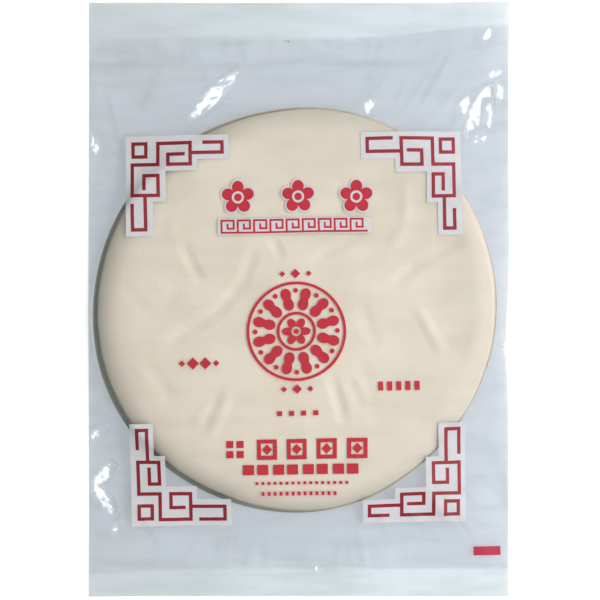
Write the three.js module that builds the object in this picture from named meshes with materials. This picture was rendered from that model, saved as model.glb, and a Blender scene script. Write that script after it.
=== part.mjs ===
// A sealed clear pack of round spring roll wrappers, lying flat with its printed face up.
//
// Units are millimetres. +Z is up, +Y runs along the pack towards its upper end seal and +X runs
// to its right side. The origin is in the middle of the pack, on the surface that it lies on.
//
// The pack is one closed body: the stack of wrappers as the film closes round it, the film that
// slopes down from the stack's rim to the two welded end seals, and the thin flaps outside it.

import * as THREE from 'three';

const { smoothstep, lerp, degToRad } = THREE.MathUtils;

// ---- The bag ----
const BAG_LENGTH = 297;
const BAG_WIDTH = 210;
const FLAP_THICKNESS = 0.8; // two welded films with their crimp
const SIDE_FOLD_INSET = 1.2; // how far the rounded side fold reaches in from the bag's side
const SIDE_FOLD_HEIGHT = 6; // the sides are lifted to mid height where they pass the stack
const SIDE_FOLD_REACH = 62;
const SNUG = { thickness: 4.4, gap: 8 }; // the fold is blunt where the stack fills the bag
const WAIST = { depth: 1.6, y: -21, reach: 24 }; // the right side is drawn in beside the stack
const WAIST_FALLOFF = 8; // a power that keeps the drawing-in to the outermost part of the film
const UPPER_SEAL = { depth: 18, taper: 7, from: 25, to: 105 }; // the seal narrows to the right
const LOWER_SEAL = { depth: 14, taper: 3.4, from: -50, to: -105 }; // and this one to the left
const SEAL_RIPPLE = { height: 0.9, length: 74 };
const CORNER_CURLS = [
  { x: 1, y: 1, lift: 4.5 },
  { x: -1, y: 1, lift: 1.4 },
  { x: -1, y: -1, lift: 2.6 },
  { x: 1, y: -1, lift: 0.8 },
];
// Where the flaps begin to lift and curl, as shares of the half width and the half length.
const SIDE_LIFT_FROM = 0.6;
const RIPPLE_FROM = 0.7;
const CURL_FROM = { across: 0.55, along: 0.72 };

// ---- The stack of wrappers under the film ----
const STACK_DIAMETER = 203;
const STACK_HEIGHT = 16;
const STACK_CENTRE = new THREE.Vector2(-2.4, -5.2);
const RIM_WIDTH = 6; // how far the rim rolls over, seen from above
const RIM_DEPTH = 9; // and how deep its roll is, seen from the side
const FOOT_INSET = 4.5; // the lowest wrappers' edge lifts off the surface here
const CROWN = 0.5; // the middle stands this much above the rim
const OUTLINE_LOBES = [ // hand-made rounds: the outline wanders off the circle
  { lobes: 2, height: 1.2, at: 49 },
  { lobes: 3, height: 0.4, at: 52 },
  { lobes: 5, height: 0.4, at: -7 },
];

// Soft creases in the top wrappers: ends, half width and height.
const CREASES = [
  { from: [-25, 30], to: [-22, 20], width: 6, height: 0.5 },
  { from: [-22, 20], to: [-37, 0], width: 7, height: 0.9 },
  { from: [-37, 0], to: [-63, -20], width: 7, height: 0.8 },
  { from: [-59, 28], to: [-47, 8], width: 6, height: 0.6 },
  { from: [14, 21], to: [36, 32], width: 6, height: 0.7 },
  { from: [47, 9], to: [77, 26], width: 7, height: 0.8 },
  { from: [50, 60], to: [52, 36], width: 6, height: 0.6 },
  { from: [60, -8], to: [73, -29], width: 6, height: 0.7 },
  { from: [20, -26], to: [32, -53], width: 7, height: 0.8 },
  { from: [-31, -46], to: [-44, -69], width: 7, height: 0.8 },
];

// Folds in the slack film between the stack and the seals: ends, half width and height.
const FOLDS = [
  { from: [-56, 86], to: [-30, 118], width: 7, height: 3.4 },
  { from: [74, 76], to: [96, 110], width: 8, height: 4.2 },
  { from: [84, 62], to: [104, 92], width: 6, height: 2.8 },
  { from: [32, 92], to: [52, 118], width: 6, height: 2.2 },
  { from: [-90, 60], to: [-101, 96], width: 6, height: 2.6 },
  { from: [-84, -70], to: [-103, -92], width: 6, height: 2.4 },
  { from: [-82, -84], to: [-96, -120], width: 7, height: 3.2 },
  { from: [66, -88], to: [88, -122], width: 7, height: 2.8 },
  { from: [4, -110], to: [12, -132], width: 6, height: 1.6 },
];
const LINE_FADE = 0.35; // how far creases and folds fade past their ends, as a share of length
const LINE_SHARPNESS = 1.6; // how much of a line's half width is steep
const PUCKER = { height: 0.5, length: 23 }; // fine gathers all round the slack film
const SLACK_FROM = 26; // film shorter than this between rim and seal is drawn tight
const SAG = 2.3; // how hollow the slack film hangs between rim and seal: 1 is straight
const UNDER_SAG = 1.7; // and how hollow it is between the flaps and the stack's foot

// ---- How finely the surface is divided ----
const STEPS_ACROSS = 32; // along each end seal
const STEPS_ALONG = 42; // along each side
const STACK_RINGS = 11;
const RIM_RINGS = 3;
const SPAN_RINGS = 10;
const SEAL_RINGS = 2;
const UNDER_SPAN_RINGS = 3;

const halfWidth = BAG_WIDTH / 2;
const halfLength = BAG_LENGTH / 2;

// A bump that is 1 at the centre and fades out smoothly over the reach.
const bump = (distance, reach) => Math.exp(-((distance / reach) ** 2));

// ---- Outlines in plan ----

// One point on the bag's cut outline, counted clockwise from its lower right corner.
function bagOutline(step) {
  const ends = [STEPS_ACROSS, STEPS_ALONG, STEPS_ACROSS, STEPS_ALONG];
  const corners = [[1, -1], [-1, -1], [-1, 1], [1, 1], [1, -1]];
  let side = 0;
  let rest = step % (2 * (STEPS_ALONG + STEPS_ACROSS));
  while (rest >= ends[side]) {
    rest -= ends[side];
    side += 1;
  }
  const along = rest / ends[side];
  const x = lerp(corners[side][0], corners[side + 1][0], along) * halfWidth;
  const y = lerp(corners[side][1], corners[side + 1][1], along) * halfLength;
  const drawnIn = x > 0 ? WAIST.depth * bump(y - WAIST.y, WAIST.reach) : 0;
  return new THREE.Vector2(x - drawnIn * (x / halfWidth) ** WAIST_FALLOFF, y);
}

// How far in from each end its weld reaches, across the bag.
const sealDepth = (seal, x) => seal.depth - seal.taper * smoothstep(
  (x - seal.from) / (seal.to - seal.from), 0, 1,
);

// The line where the two films part: the welds' inner edges and the rounded side folds.
function filmParting(edge) {
  const x = edge.x * (1 - SIDE_FOLD_INSET / halfWidth);
  const upper = halfLength - sealDepth(UPPER_SEAL, x);
  const lower = -halfLength + sealDepth(LOWER_SEAL, x);
  const y = edge.y > 0 ? (edge.y / halfLength) * upper : (-edge.y / halfLength) * lower;
  return new THREE.Vector2(x, y);
}

// The stack's outline in the direction of a point.
function stackRadius(bearing) {
  return OUTLINE_LOBES.reduce(
    (radius, wave) => radius + wave.height * Math.cos(wave.lobes * (bearing - degToRad(wave.at))),
    STACK_DIAMETER / 2,
  );
}

function stackPoint(bearing, inset) {
  const reach = stackRadius(bearing) - inset;
  return new THREE.Vector2(Math.cos(bearing), Math.sin(bearing))
    .multiplyScalar(reach)
    .add(STACK_CENTRE);
}

// ---- Heights ----

// A ridge along a straight line: highest in its middle and fading out at its ends and sides.
function ridge(line, point) {
  const from = new THREE.Vector2(...line.from);
  const run = new THREE.Vector2(...line.to).sub(from);
  const along = point.clone().sub(from).dot(run) / run.lengthSq();
  const nearest = from.addScaledVector(run, THREE.MathUtils.clamp(along, 0, 1));
  const fade = bump(Math.max(0, Math.abs(along - 0.5) - 0.5), LINE_FADE);
  return line.height * fade * bump(point.distanceTo(nearest), line.width / LINE_SHARPNESS);
}

const relief = (lines, point) => lines.reduce((sum, line) => sum + ridge(line, point), 0);

// The height of the flaps' middle: lifted beside the stack, rippled at the seals, curled up at
// the corners.
function flapHeight(point) {
  const beside = SIDE_FOLD_HEIGHT * bump(point.y, SIDE_FOLD_REACH)
    * smoothstep(Math.abs(point.x), SIDE_LIFT_FROM * halfWidth, halfWidth);
  const phase = (2 * Math.PI * point.x) / SEAL_RIPPLE.length + Math.sign(point.y);
  const ripple = SEAL_RIPPLE.height * (1 + Math.sin(phase))
    * smoothstep(Math.abs(point.y), RIPPLE_FROM * halfLength, halfLength);
  const curl = CORNER_CURLS.reduce((sum, corner) => sum + corner.lift
    * smoothstep(corner.x * point.x, CURL_FROM.across * halfWidth, halfWidth)
    * smoothstep(corner.y * point.y, CURL_FROM.along * halfLength, halfLength), 0);
  return FLAP_THICKNESS / 2 + beside + ripple + curl;
}

// The flaps' thickness at the parting line: flat, or blunt where the stack fills the bag.
function partingThickness(parting) {
  const arm = parting.clone().sub(STACK_CENTRE);
  const gap = arm.length() - stackRadius(arm.angle());
  return lerp(SNUG.thickness, FLAP_THICKNESS, smoothstep(gap, 0, SNUG.gap));
}

// ---- Stations from the middle of the top, out to the edge and back under to the middle ----
const stations = [];
const addStations = (zone, rings) => {
  for (let ring = 1; ring <= rings; ring += 1) stations.push({ zone, t: ring / rings });
};
stations.push({ zone: 'stack', t: 0 });
addStations('stack', STACK_RINGS);
addStations('rim', RIM_RINGS);
addStations('span', SPAN_RINGS);
addStations('seal', SEAL_RINGS);
stations.push({ zone: 'sealUnder', t: 1 });
stations.push({ zone: 'sealUnder', t: 0 });
addStations('spanUnder', UNDER_SPAN_RINGS);
stations.push({ zone: 'under', t: 0 });

const topOfStack = (point) => {
  const out = point.distanceTo(STACK_CENTRE) / (STACK_DIAMETER / 2);
  return STACK_HEIGHT + CROWN * (1 - out * out) + relief(CREASES, point);
};

// The film leaves the rolled rim where the roll is as steep as the slack film that starts there.
function filmLeaves(bearing, parting) {
  const fall = STACK_HEIGHT - flapHeight(parting);
  const away = stackPoint(bearing, RIM_WIDTH / 2).distanceTo(parting);
  return Math.atan(((RIM_WIDTH / RIM_DEPTH) * SAG * fall) / away);
}

function rimPoint(bearing, turn) {
  const plan = stackPoint(bearing, RIM_WIDTH * (1 - Math.sin(turn)));
  return { plan, z: STACK_HEIGHT - RIM_DEPTH * (1 - Math.cos(turn)) };
}

// A point on the flap outside the parting line, and half the flap's thickness there.
function flapPoint(share, { parting, edge }) {
  const plan = parting.clone().lerp(edge, share);
  return { plan, half: lerp(partingThickness(parting), FLAP_THICKNESS, share) / 2 };
}

// Where one station lies in the direction of one step of the bag's outline.
const placements = {
  stack({ t }, { bearing }) {
    const plan = STACK_CENTRE.clone().lerp(stackPoint(bearing, RIM_WIDTH), t);
    return { plan, z: topOfStack(plan) };
  },
  rim({ t }, { bearing, parting }) {
    return rimPoint(bearing, t * filmLeaves(bearing, parting));
  },
  span({ t }, { bearing, parting }) {
    const start = rimPoint(bearing, filmLeaves(bearing, parting));
    const plan = start.plan.clone().lerp(parting, t);
    const foot = flapHeight(parting) + partingThickness(parting) / 2;
    const slack = Math.min(1, start.plan.distanceTo(parting) / SLACK_FROM);
    const gathers = PUCKER.height * Math.sin((2 * Math.PI * (parting.x + parting.y)) / PUCKER.length);
    const loose = slack * Math.sin(Math.PI * t) * (relief(FOLDS, plan) + gathers);
    return { plan, z: lerp(foot, start.z, (1 - t) ** SAG) + loose };
  },
  seal({ t }, lines) {
    const { plan, half } = flapPoint(t, lines);
    return { plan, z: flapHeight(plan) + half };
  },
  sealUnder({ t }, lines) {
    const { plan, half } = flapPoint(t, lines);
    return { plan, z: Math.max(0, flapHeight(plan) - half) };
  },
  spanUnder({ t }, { bearing, parting }) {
    const plan = parting.clone().lerp(stackPoint(bearing, FOOT_INSET), t);
    const rise = Math.max(0, flapHeight(parting) - partingThickness(parting) / 2);
    return { plan, z: rise * (1 - t) ** UNDER_SAG };
  },
  under() {
    return { plan: STACK_CENTRE.clone(), z: 0 };
  },
};

// ---- The closed skin of the filled bag ----
function filledBag() {
  const steps = 2 * (STEPS_ALONG + STEPS_ACROSS);
  const profile = stations.map((_, index) => new THREE.Vector2(
    Math.sin((Math.PI * index) / (stations.length - 1)), index,
  ));
  const skin = new THREE.LatheGeometry(profile, steps);
  const place = skin.attributes.position;
  for (let step = 0; step <= steps; step += 1) {
    const edge = bagOutline(step);
    const parting = filmParting(edge);
    const bearing = Math.atan2(edge.y - STACK_CENTRE.y, edge.x - STACK_CENTRE.x);
    stations.forEach((station, index) => {
      const { plan, z } = placements[station.zone](station, { bearing, parting, edge });
      place.setXYZ(step * stations.length + index, plan.x, plan.y, z);
    });
  }
  skin.computeVertexNormals();
  return skin;
}

// Cream rounds seen through clear, glossy film.
const wrappedFilm = new THREE.MeshStandardMaterial({
  color: '#dcd7c9',
  roughness: 0.25,
  metalness: 0,
});

const sealedBag = new THREE.Mesh(filledBag(), wrappedFilm);
sealedBag.name = 'sealed_bag';

const pack = new THREE.Group();
pack.add(sealedBag);

export default pack;
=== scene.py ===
# %% [markdown]
# # A sealed pack of spring roll wrappers
# Fifty thin rounds of cream dough lie in a stack inside a flat bag of clear film. The bag is welded
# across both ends and printed in red and white on its upper film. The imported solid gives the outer
# form of the whole, and this lesson dresses it: the film first, then the dough, the print, and last
# the light.

import math

import bpy
import numpy as np
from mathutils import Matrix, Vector, noise
from mathutils.bvhtree import BVHTree


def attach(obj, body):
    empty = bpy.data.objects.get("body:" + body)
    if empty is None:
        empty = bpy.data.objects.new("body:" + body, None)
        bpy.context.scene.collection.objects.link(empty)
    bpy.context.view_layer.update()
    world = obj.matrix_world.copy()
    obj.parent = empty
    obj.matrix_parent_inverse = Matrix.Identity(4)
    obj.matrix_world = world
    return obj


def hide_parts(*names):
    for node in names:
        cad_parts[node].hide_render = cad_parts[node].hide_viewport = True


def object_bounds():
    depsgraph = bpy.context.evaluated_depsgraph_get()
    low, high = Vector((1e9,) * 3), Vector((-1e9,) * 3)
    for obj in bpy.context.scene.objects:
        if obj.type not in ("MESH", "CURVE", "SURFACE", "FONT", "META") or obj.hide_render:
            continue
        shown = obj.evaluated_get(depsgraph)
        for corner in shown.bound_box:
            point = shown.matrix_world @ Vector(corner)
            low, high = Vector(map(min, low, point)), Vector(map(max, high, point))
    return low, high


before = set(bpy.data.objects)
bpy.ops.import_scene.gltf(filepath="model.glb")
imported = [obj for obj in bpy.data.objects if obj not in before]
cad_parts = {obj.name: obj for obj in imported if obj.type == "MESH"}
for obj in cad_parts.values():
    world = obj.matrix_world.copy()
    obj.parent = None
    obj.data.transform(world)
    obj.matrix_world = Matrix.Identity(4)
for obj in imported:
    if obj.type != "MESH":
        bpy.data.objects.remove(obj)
cad_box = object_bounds()
MM = 0.001
print("solid, mm:", [round(side / MM, 1) for side in cad_box[1] - cad_box[0]])

# %% [markdown]
# ## The camera
# The pack is seen straight from above, as on a scanner's glass, with its long side upright. A long
# lens from far off keeps the view as flat as a scan. The picture takes in 299 mm each way, which
# sets how far off the camera stands.

# %% Camera
VIEW_WIDTH = 299 * MM
VIEW_CENTRE = (0.65 * MM, -0.25 * MM)
LENS = 200.0
SENSOR = 36.0
camera_height = cad_box[1].z / 2 + VIEW_WIDTH * LENS / SENSOR

bpy.ops.object.select_all(action="DESELECT")
bpy.ops.object.camera_add(location=(*VIEW_CENTRE, camera_height), rotation=(0, 0, 0))
camera = bpy.context.object
camera.name = "camera"
camera.data.lens = LENS
camera.data.sensor_width = SENSOR
camera.data.clip_end = 50
camera.data.dof.use_dof = False
bpy.context.scene.camera = camera
print("camera stands", round(camera_height, 3), "m up")

# %% [markdown]
# ## Working by hand, in code
# Every piece starts as a primitive or as a copy of the solid, is shaped in edit mode, and gets
# modifiers that are applied at once. These helpers do what the mouse would do: make one object
# active, apply its modifiers, and read or set all of its points together. Points are read in
# millimetres, because every size on this pack is thought of in millimetres.

# %% Helpers for shaping
def only(piece):
    """Makes one object the active and only selected one."""
    bpy.ops.object.select_all(action="DESELECT")
    piece.select_set(True)
    bpy.context.view_layer.objects.active = piece
    return piece


def apply_modifiers(piece):
    only(piece)
    for modifier in list(piece.modifiers):
        bpy.ops.object.modifier_apply(modifier=modifier.name)


def points_of(piece):
    flat = np.empty(len(piece.data.vertices) * 3)
    piece.data.vertices.foreach_get("co", flat)
    return flat.reshape(-1, 3) / MM


def set_points(piece, points):
    piece.data.vertices.foreach_set("co", (points * MM).ravel())
    piece.data.update()


def normals_of(piece):
    flat = np.empty(len(piece.data.vertices) * 3)
    piece.data.vertex_normals.foreach_get("vector", flat)
    return flat.reshape(-1, 3)


def store(piece, name, values):
    """Keeps one number for each point, for a material to read."""
    piece.data.attributes.new(name, "FLOAT", "POINT").data.foreach_set("value", values)


def smoothstep(value, low, high):
    share = np.clip((value - low) / (high - low), 0, 1)
    return share * share * (3 - 2 * share)


def triangles(piece):
    return sum(len(face.vertices) - 2 for face in piece.data.polygons)


def say(piece):
    low = points_of(piece).min(axis=0).round(1)
    high = points_of(piece).max(axis=0).round(1)
    print(f"{piece.name}: {triangles(piece)} triangles, from {low} to {high} mm")


# %% [markdown]
# ## The form of the filled bag
# The solid already has the right form: flat flaps, folds at the corners, and the round stack that
# shows through. Its faces are long and few, so its surface would look cut. A copy of it is merged,
# its triangles are paired back into quads and a Subdivision Surface rounds them. The bag's cut edge
# is creased first, or the rounding would eat its square corners. The film and the dough both take
# their places from this smooth copy, and the solid itself is left alone.

# %% A copy of the solid, in quads
SAME_PLACE = 0.01

form_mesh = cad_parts["sealed_bag"].data.copy()
form = bpy.data.objects.new("bag_form", form_mesh)
bpy.context.scene.collection.objects.link(form)
form.data.materials.clear()
only(form)
bpy.ops.object.mode_set(mode="EDIT")
bpy.ops.mesh.select_all(action="SELECT")
bpy.ops.mesh.remove_doubles(threshold=SAME_PLACE * MM)
bpy.ops.mesh.tris_convert_to_quads(face_threshold=math.pi, shape_threshold=math.pi)
bpy.ops.mesh.select_mode(type="EDGE")
bpy.ops.mesh.select_all(action="DESELECT")
bpy.ops.object.mode_set(mode="OBJECT")
quads = sum(len(face.vertices) == 4 for face in form.data.polygons)
print("form:", len(form.data.polygons), "faces,", quads, "quads")

# %% Its cut edge, creased
FORM_LEVELS = 2

places = points_of(form)
ends = np.array([edge.vertices[:] for edge in form.data.edges])
run = (places[ends[:, 0]] - places[ends[:, 1]])[:, :2]
upright = np.hypot(run[:, 0], run[:, 1]) < SAME_PLACE
on_cut = np.zeros(len(places), bool)
on_cut[ends[upright]] = True
for edge, chosen in zip(form.data.edges, on_cut[ends].all(axis=1)):
    edge.select = bool(chosen)
bpy.ops.object.mode_set(mode="EDIT")
bpy.ops.transform.edge_crease(value=1)
bpy.ops.mesh.select_mode(type="VERT")
bpy.ops.object.mode_set(mode="OBJECT")
print("creased edges:", int(on_cut[ends].all(axis=1).sum()))

rounding = form.modifiers.new("rounding", "SUBSURF")
rounding.levels = rounding.render_levels = FORM_LEVELS
apply_modifiers(form)
say(form)


# %% Heights on the form
PLUMB_START = 60.0


def tree_of(piece):
    mesh = piece.data
    corners = [vertex.co / MM for vertex in mesh.vertices]
    return BVHTree.FromPolygons(corners, [face.vertices[:] for face in mesh.polygons])


def heights(tree, points, downwards=True):
    """Where a plumb line through each point first meets the surface, from above or from below."""
    side = 1 if downwards else -1
    found = []
    for x, y in points[:, :2]:
        hit = tree.ray_cast(Vector((x, y, side * PLUMB_START)), Vector((0, 0, -side)))[0]
        found.append(hit.z if hit else np.nan)
    return np.array(found)


form_tree = tree_of(form)
print("top over the middle:", heights(form_tree, np.array([[0.0, 0.0]])).round(2), "mm")

# %% [markdown]
# ## The clear bag
# The real bag is one tube of film about 0.06 mm thick, folded at both sides and welded at both
# ends, so in a model it is a single wall that closes on itself. It is a copy of the form, drawn in
# by a hair, with its flaps pressed as thin as two films are. Cloth simulation could fold it, but
# the folds lie where the photograph shows them, so they are laid in one by one, each as a line.

# %% Sizes of the bag and the stack
HALF_WIDTH = 105.0
HALF_LENGTH = 148.5
STACK_CENTRE = np.array([-2.4, -5.2])
STACK_RADIUS = 101.5
OUTLINE_LOBES = ((2, 1.2, 49), (3, 0.4, 52), (5, 0.4, -7))
UPPER_WELD = {"depth": 18.0, "taper": 7.0, "low": 25.0, "high": 105.0}
LOWER_WELD = {"depth": 14.0, "taper": 3.4, "low": -50.0, "high": -105.0}


def stack_radius(bearing):
    radius = STACK_RADIUS
    for lobes, height, turn in OUTLINE_LOBES:
        radius = radius + height * np.cos(lobes * (bearing - math.radians(turn)))
    return radius


def beyond_stack(points):
    """How far each point lies outside the stack's outline, in plan."""
    arm = points[:, :2] - STACK_CENTRE
    return np.hypot(arm[:, 0], arm[:, 1]) - stack_radius(np.arctan2(arm[:, 1], arm[:, 0]))


def weld_depth(weld, x):
    return weld["depth"] - weld["taper"] * smoothstep(x, weld["low"], weld["high"])


def inside_weld(points):
    """How far each point lies inside the nearer weld band, counted from its inner edge."""
    x, y = points[:, 0], points[:, 1]
    upper = y - (HALF_LENGTH - weld_depth(UPPER_WELD, x))
    lower = -HALF_LENGTH + weld_depth(LOWER_WELD, x) - y
    return np.maximum(upper, lower)


print("stack:", round(float(stack_radius(0.0)), 2), "mm to its right rim")

# %% The skin, with its flaps pressed thin
FILM_INSET = 0.06
FLAP_SOLID = 0.8
FLAP_FILM = 0.16
FLAP_FADE = 3.0

film = bpy.data.objects.new("clear_bag", form.data.copy())
bpy.context.scene.collection.objects.link(film)
skin = points_of(film)
facing = normals_of(film)
top = heights(form_tree, skin)
bottom = heights(form_tree, skin, downwards=False)
hollow = np.nan_to_num(top - bottom)
middle = np.where(np.isnan(top), skin[:, 2], (top + bottom) / 2)
pressed = np.clip(1 - (hollow - FLAP_SOLID) / FLAP_FADE, 0, 1)
squeeze = 1 - pressed * (1 - FLAP_FILM / FLAP_SOLID)
skin[:, 2] = middle + (skin[:, 2] - middle) * squeeze
skin -= facing * FILM_INSET * (1 - pressed)[:, None]
set_points(film, skin)
say(film)

# %% The slack film, drawn smooth
SLACK_FROM = 0.5
SLACK_TO = 7.0
WELD_FADE = 3.0
UP_SHARPNESS = 4.0
LEAST_SLACK = 0.01
SMOOTH_ROUNDS = 120


def on_upper_film(facing):
    """From 0 for normals that point down to 1 for those that point up."""
    return np.clip(facing[:, 2] * UP_SHARPNESS, 0, 1)


slack = smoothstep(beyond_stack(skin), SLACK_FROM, SLACK_TO)
slack *= smoothstep(-inside_weld(skin), 0, WELD_FADE)
slack *= on_upper_film(facing)
group = film.vertex_groups.new(name="slack")
for index in np.flatnonzero(slack > LEAST_SLACK):
    group.add([int(index)], float(slack[index]), "REPLACE")
ease = film.modifiers.new("ease", "SMOOTH")
ease.vertex_group = "slack"
ease.factor = 0.5
ease.iterations = SMOOTH_ROUNDS
ease.use_x = ease.use_y = False
apply_modifiers(film)
film.vertex_groups.clear()
print("smoothed points:", int((slack > LEAST_SLACK).sum()))

# %% [markdown]
# ### Folds in the film
# Film doesn't stretch, so where it is slack it breaks into straight ridges with flat flanks. Each
# fold here is a line with a roof-shaped section. A few long shallow creases cross the bag where it
# was folded over in its box, a fan of fine ones runs from the stack to each corner, and short
# puckers stand along the welds.

# %% Folds as lines
FOLD_ROUNDING = 0.5
# where a fold starts to rise and where it is full, as shares of its length
FOLD_ENDS = (-0.15, 0.3)

# from, to, half width, height, in mm; a negative height is a groove
SEEN_FOLDS = [
    ((-106, 117.6), (-50, 116.2), 1.5, 0.55),
    ((-56, 116.0), (-24, 117.8), 1.3, 0.5),
    ((-30, 117.2), (8, 119.4), 1.3, 0.5),
    ((2, 118.6), (74, 117.4), 1.5, 0.4),
    ((-106, -131.5), (-40, -134.0), 1.5, 0.45),
    ((64, -86), (88, -121), 5.0, -0.9),
    ((60, 96), (76, 124), 2.6, 0.5),
    ((-80, 92), (-66, 124), 2.6, 0.45),
    ((-88, 70), (-96, 104), 2.4, 0.5),
    ((-84, -98), (-70, -124), 2.6, 0.5),
]


def roof(points, start, end, half_width, height, rounding=FOLD_ROUNDING):
    """A roof-shaped ridge along a line, rounded along its crest and sinking at its ends."""
    start, end = np.array(start, float), np.array(end, float)
    run = end - start
    length = np.hypot(*run)
    arm = points[:, :2] - start
    along = arm @ run / length
    beside = np.abs(arm @ np.array([-run[1], run[0]])) / length
    section = 1 - (np.sqrt(beside**2 + rounding**2) - rounding) / half_width
    rising, full = (share * length for share in FOLD_ENDS)
    ends = smoothstep(along, rising, full) * smoothstep(length - along, rising, full)
    return height * np.clip(section, 0, None) * ends


def fold_sum(points, folds):
    total = np.zeros(len(points))
    for fold in folds:
        total += roof(points, *fold)
    return total


# %% Fans of fine folds, and puckers along the welds
FAN = {"spread": 24.0, "start": (2, 22), "length": (14, 36), "drift": (-5, 5),
       "half_width": (1.8, 3.4), "height": (0.2, 0.62)}
PUCKER = {"reach": 98.0, "jitter": (-4, 4), "overlap": 1.5, "drift": (-2, 2),
          "length": (7, 18), "half_width": (1.6, 2.6), "height": (0.2, 0.5)}
# across, along, how many folds
FANS = ((-1, 1, 9), (1, 1, 13), (1, -1, 10), (-1, -1, 10))
UPPER_PUCKERS = 17
LOWER_PUCKERS = 15
FOLD_SEED = 5
rng = np.random.default_rng(FOLD_SEED)


def corner_fan(across, along, count):
    """Fine folds that run from near the stack towards one corner of the bag."""
    corner = np.array([across * HALF_WIDTH, along * HALF_LENGTH])
    middle_bearing = math.atan2(*(corner - STACK_CENTRE)[::-1])
    folds = []
    for _ in range(count):
        bearing = middle_bearing + math.radians(rng.uniform(-FAN["spread"], FAN["spread"]))
        way = np.array([math.cos(bearing), math.sin(bearing)])
        near = STACK_CENTRE + way * (STACK_RADIUS + rng.uniform(*FAN["start"]))
        far = near + way * rng.uniform(*FAN["length"])
        far = far + np.array([-way[1], way[0]]) * rng.uniform(*FAN["drift"])
        folds.append((near, far, rng.uniform(*FAN["half_width"]), rng.uniform(*FAN["height"])))
    return folds


def weld_puckers(weld, side, count):
    """Short gathers that stand square to a weld along its inner edge."""
    folds = []
    row = np.linspace(-PUCKER["reach"], PUCKER["reach"], count)
    for place in row + rng.uniform(*PUCKER["jitter"], count):
        edge = side * (HALF_LENGTH - weld_depth(weld, place))
        near = np.array([place, edge + side * PUCKER["overlap"]])
        drift = rng.uniform(*PUCKER["drift"])
        far = near - np.array([drift, side * rng.uniform(*PUCKER["length"])])
        folds.append((near, far, rng.uniform(*PUCKER["half_width"]), rng.uniform(*PUCKER["height"])))
    return folds


fine_folds = []
for across, along, count in FANS:
    fine_folds += corner_fan(across, along, count)
fine_folds += weld_puckers(UPPER_WELD, 1, UPPER_PUCKERS) + weld_puckers(LOWER_WELD, -1, LOWER_PUCKERS)
print(len(SEEN_FOLDS), "seen folds and", len(fine_folds), "fine ones")

# %% [markdown]
# Between the folds the film is never quite flat. Ridged noise, drawn out along the slope that runs
# down from the stack, gives it long shallow pleats, and a rounder one gives it the faint dents of
# film that has been handled. Over the stack both almost vanish, because the dough holds it flat.

# %% Laying the folds in
PLEAT_WIDTH = 13.0
PLEAT_LENGTH = 60.0
PLEAT_HEIGHT = 0.7
PLEAT_SEED = 3.1
DENT_SIZE = 26.0
DENT_HEIGHT = 0.7
DENT_SEED = 7.7
TAUT_SHARE = 0.04
LOOSE_FROM_TO = (-3.0, 14.0)
SEEN_FROM_TO = (-4.0, 3.0)
WELD_FROM_TO = (-1.5, 1.0)
WELD_CALM = 0.8
WELD_CALM_SEEN = 0.7
HELD_AT_CUT = 4.0


def ridged(places):
    """Sharp-crested noise from 0 to about 1 at each place."""
    return np.array([1 - 2 * abs(noise.noise(Vector(place))) for place in places])


def pleats(points):
    arm = points[:, :2] - STACK_CENTRE
    reach = np.hypot(arm[:, 0], arm[:, 1])
    bearing = np.arctan2(arm[:, 1], arm[:, 0])
    round_the_rim = STACK_RADIUS / PLEAT_WIDTH
    around = np.column_stack([np.cos(bearing), np.sin(bearing)]) * round_the_rim
    return ridged(np.column_stack([around, reach / PLEAT_LENGTH + PLEAT_SEED]))


def dents(points):
    return ridged(np.column_stack([points[:, :2] / DENT_SIZE, np.full(len(points), DENT_SEED)]))


def inside_cut(points):
    """How far each point lies inside the cut and folded edges of the bag."""
    return np.minimum(HALF_WIDTH - np.abs(points[:, 0]), HALF_LENGTH - np.abs(points[:, 1]))


skin = points_of(film)
outside = beyond_stack(skin)
welded = smoothstep(inside_weld(skin), *WELD_FROM_TO)
loose = smoothstep(outside, *LOOSE_FROM_TO) * (1 - WELD_CALM * welded)
loose = TAUT_SHARE + (1 - TAUT_SHARE) * loose
waves = PLEAT_HEIGHT * (pleats(skin) - 0.5) + DENT_HEIGHT * (dents(skin) - 0.5)
lift = loose * (waves + fold_sum(skin, fine_folds))
seen_share = smoothstep(outside, *SEEN_FROM_TO) * (1 - WELD_CALM_SEEN * welded)
lift += seen_share * fold_sum(skin, SEEN_FOLDS)
lift *= np.maximum(on_upper_film(normals_of(film)), pressed)
lift *= smoothstep(inside_cut(skin), 0, HELD_AT_CUT)
skin[:, 2] += lift
set_points(film, skin)
say(film)

# %% [markdown]
# ### Splinters of light
# Gloss shows a lamp only where the film happens to be tilted halfway between the lamp and the eye,
# and there it flashes white. So the lamp's place is settled here, and at each splinter the film is
# pressed flat to just that tilt, as a real facet between two folds is. Splinters that meet share one
# plane, because they are one facet of the film. The mesh is cut finer there first, so that their
# edges are crisp.

# %% Where the lamp stands, and the tilt that shows it
LAMP_REACH = 700.0
LAMP_BEARING = math.radians(-14)
LAMP_HEIGHT = math.radians(64)

lamp = LAMP_REACH * Vector((
    math.cos(LAMP_BEARING) * math.cos(LAMP_HEIGHT),
    math.sin(LAMP_BEARING) * math.cos(LAMP_HEIGHT),
    math.sin(LAMP_HEIGHT),
))


def mirror_slope(place):
    """How steeply the film at a place rises along x and y when it shows the lamp to the camera."""
    spot = Vector((*place, 0))
    halfway = (lamp - spot).normalized() + (camera.location / MM - spot).normalized()
    return np.array([-halfway.x, -halfway.y]) / halfway.z


print("slope in the middle:", mirror_slope((0, 0)).round(3))

# %% The splinters, cut finer
FACET_BLEND = 3.6
FACET_CUTS = 2
LEAST_UPWARD = 0.1

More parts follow.
